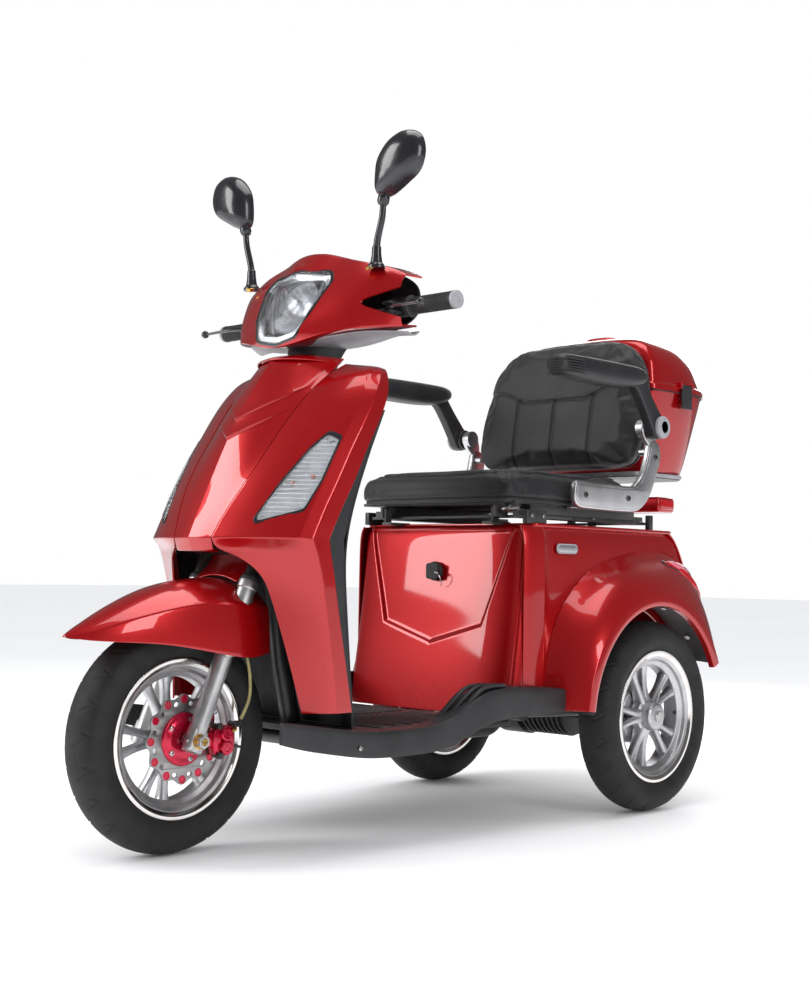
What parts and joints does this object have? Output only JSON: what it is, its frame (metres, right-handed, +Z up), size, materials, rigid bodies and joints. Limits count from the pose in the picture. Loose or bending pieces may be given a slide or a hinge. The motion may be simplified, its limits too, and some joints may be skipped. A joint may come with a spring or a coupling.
{
  "type": "mobility scooter",
  "caption": "Three-wheeled seated mobility scooter with fork steering, driven rear axle, tilting seat with lifting armrests, and a rear luggage box.",
  "frame": {"origin": "on the floor under the middle of the scooter's overall length and width", "axes": "+X to the rider's left, +Y towards the rear, +Z up"},
  "size_m": [0.686, 1.734, 1.318],
  "materials": {
    "red_panel": "candy red lacquer",
    "black_plastic": "grained",
    "black_steel": "satin black",
    "handlebar_steel": "black plated",
    "black_alloy": "black anodised",
    "tyre_rubber": "moulded",
    "cast_alloy": "cast and machined",
    "bracket_alloy": "satin cast",
    "disc_steel": "ground",
    "caliper_red": "anodised red",
    "axle_steel": "zinc plated",
    "shock_steel": "gloss black",
    "spring_steel": "gloss red",
    "grip_rubber": "ribbed",
    "hose_rubber": "smooth",
    "mirror_shell": "gloss black with silvered glass",
    "clear_lens": "clear polycarbonate",
    "chrome_reflector": "metallised",
    "red_lens": "red acrylic",
    "battery_case": "moulded",
    "leatherette": "stitched leatherette",
    "armrest_foam": "integral-skin foam"
  },
  "bodies": {
    "chassis": {"frame": "black_steel", "head_bearings": "axle_steel", "nose_panel": "red_panel", "shield_left": "red_panel", "shield_right": "red_panel", "indicator_lenses": "clear_lens", "leg_shield": "black_plastic", "footboard": "black_plastic", "battery_cover": "red_panel", "charge_port": "black_plastic", "side_panel_left": "red_panel", "side_panel_right": "red_panel", "seat_deck": "red_panel", "tail_panel": "red_panel", "tail_lights": "red_lens", "battery_pack": "battery_case", "luggage_rack": "black_steel", "luggage_box": "red_panel", "hinge_mount": "black_steel"},
    "steering": {"steering_stem": "black_steel", "handlebar": "handlebar_steel", "headlamp_cowl": "red_panel", "headlamp_lens": "clear_lens", "headlamp_reflector": "chrome_reflector", "dash_cover": "black_plastic", "lever_perches": "black_plastic", "grip_left": "grip_rubber", "mirror_stems": "black_steel"},
    "brake_lever_left": {"brake_lever_left": "black_alloy"},
    "brake_lever_right": {"brake_lever_right": "black_alloy"},
    "throttle": {"throttle_grip": "grip_rubber"},
    "mirror_left": {"mirror_head_left": "mirror_shell"},
    "mirror_right": {"mirror_head_right": "mirror_shell"},
    "key": {"ignition_key": "axle_steel"},
    "fork_lower": {"fork_sliders": "bracket_alloy", "front_axle": "axle_steel", "brake_caliper": "caliper_red", "front_mudguard": "red_panel", "brake_hose": "hose_rubber"},
    "front_wheel": {"front_tyre": "tyre_rubber", "front_rim": "cast_alloy", "brake_disc": "disc_steel"},
    "rear_axle": {"rear_axle": "black_steel"},
    "shock_lower": {"shock_tubes": "shock_steel"},
    "shock_upper": {"shock_rods": "shock_steel", "shock_springs": "spring_steel"},
    "rear_wheel_left": {"rear_tyre_left": "tyre_rubber", "rear_rim_left": "cast_alloy"},
    "rear_wheel_right": {"rear_tyre_right": "tyre_rubber", "rear_rim_right": "cast_alloy"},
    "seat_base": {"seat_frame": "black_steel"},
    "seat": {"seat_pan": "black_steel", "seat_cushion": "leatherette", "backrest": "leatherette", "seat_brackets": "bracket_alloy"},
    "armrest_left": {"armrest_left": "armrest_foam"},
    "armrest_right": {"armrest_right": "armrest_foam"},
    "seat_lever": {"seat_lever": "axle_steel"},
    "box_lid": {"luggage_lid": "red_panel"},
    "box_latch": {"lid_latch": "black_plastic"}
  },
  "joints": [
    {"name": "steering", "type": "hinge", "parent": "chassis", "child": "steering", "pos_m": [0, -0.61002, 0.18815], "axis": [0, 0.3907, 0.9205], "range_deg": [-35, 35]},
    {"name": "fork_travel", "type": "slide", "parent": "steering", "child": "fork_lower", "axis": [0, 0.3907, 0.9205], "range_m": [0, 0.036], "stiffness_N_per_m": 10000, "springref_m": -0.06},
    {"name": "front_wheel_spin", "type": "hinge", "parent": "fork_lower", "child": "front_wheel", "pos_m": [0, -0.645, 0.203], "axis": [1, 0, 0], "continuous": true},
    {"name": "rear_suspension", "type": "hinge", "parent": "chassis", "child": "rear_axle", "pos_m": [0, 0.155, 0.215], "axis": [1, 0, 0], "range_deg": [0, 6], "stiffness_Nm_per_rad": 2600, "springref_deg": -9.17},
    {"name": "shock_upper_swing", "type": "hinge", "parent": "chassis", "child": "shock_upper", "pos_m": [0.19, 0.44, 0.47], "axis": [1, 0, 0], "range_deg": [-2.84, 0], "deforming": ["shock_springs"]},
    {"name": "shock_lower_swing", "type": "hinge", "parent": "rear_axle", "child": "shock_lower", "pos_m": [0.19, 0.421, 0.262], "axis": [1, 0, 0], "range_deg": [-8.96, 0]},
    {"name": "rear_wheel_left_spin", "type": "hinge", "parent": "rear_axle", "child": "rear_wheel_left", "pos_m": [0.298, 0.407, 0.203], "axis": [1, 0, 0], "continuous": true},
    {"name": "rear_wheel_right_spin", "type": "hinge", "parent": "rear_axle", "child": "rear_wheel_right", "pos_m": [-0.298, 0.407, 0.203], "axis": [1, 0, 0], "continuous": true},
    {"name": "throttle_twist", "type": "hinge", "parent": "steering", "child": "throttle", "pos_m": [-0.27, -0.26422, 1.0028], "axis": [1, 0, 0], "range_deg": [0, 70], "stiffness_Nm_per_rad": 0.3, "springref_deg": -28.65},
    {"name": "brake_lever_left_pull", "type": "hinge", "parent": "steering", "child": "brake_lever_left", "pos_m": [0.19, -0.29822, 0.9978], "axis": [0, 0, 1], "range_deg": [0, 18], "stiffness_Nm_per_rad": 2, "springref_deg": -17.19},
    {"name": "brake_lever_right_pull", "type": "hinge", "parent": "steering", "child": "brake_lever_right", "pos_m": [-0.19, -0.29822, 0.9978], "axis": [0, 0, -1], "range_deg": [0, 18], "stiffness_Nm_per_rad": 2, "springref_deg": -17.19},
    {"name": "mirror_left_tilt", "type": "hinge", "parent": "steering", "child": "mirror_left", "pos_m": [0.196, -0.327, 1.196], "axis": [1, 0, 0], "range_deg": [-15, 15]},
    {"name": "mirror_right_tilt", "type": "hinge", "parent": "steering", "child": "mirror_right", "pos_m": [-0.196, -0.327, 1.196], "axis": [1, 0, 0], "range_deg": [-15, 15]},
    {"name": "key_turn", "type": "hinge", "parent": "chassis", "child": "key", "pos_m": [0.11, -0.3, 0.8], "axis": [0, 1, 0], "range_deg": [0, 90]},
    {"name": "seat_tilt", "type": "hinge", "parent": "chassis", "child": "seat_base", "pos_m": [0, 0.067, 0.632], "axis": [1, 0, 0], "range_deg": [0, 55]},
    {"name": "seat_slide", "type": "slide", "parent": "seat_base", "child": "seat", "axis": [0, 1, 0], "range_m": [-0.12, 0]},
    {"name": "seat_lever_lift", "type": "hinge", "parent": "seat", "child": "seat_lever", "pos_m": [0.192, 0.061, 0.637], "axis": [-1, 0, 0], "range_deg": [0, 12], "stiffness_Nm_per_rad": 1, "springref_deg": -17.19},
    {"name": "armrest_left_lift", "type": "hinge", "parent": "seat", "child": "armrest_left", "pos_m": [0.287, 0.462, 0.831], "axis": [-1, 0, 0], "range_deg": [0, 95]},
    {"name": "armrest_right_lift", "type": "hinge", "parent": "seat", "child": "armrest_right", "pos_m": [-0.287, 0.462, 0.831], "axis": [-1, 0, 0], "range_deg": [0, 95]},
    {"name": "box_lid_hinge", "type": "hinge", "parent": "chassis", "child": "box_lid", "pos_m": [-0.214, 0.69, 0.938], "axis": [0, -1, 0], "range_deg": [0, 80]},
    {"name": "box_latch_swing", "type": "hinge", "parent": "box_lid", "child": "box_latch", "pos_m": [0.211, 0.707, 0.955], "axis": [0, -1, 0], "range_deg": [0, 70]}
  ],
  "couplings": [
    {"joint": "shock_upper_swing", "follows": "rear_suspension", "ratio": -0.46392},
    {"joint": "shock_lower_swing", "follows": "rear_suspension", "ratio": -1.4639}
  ]
}
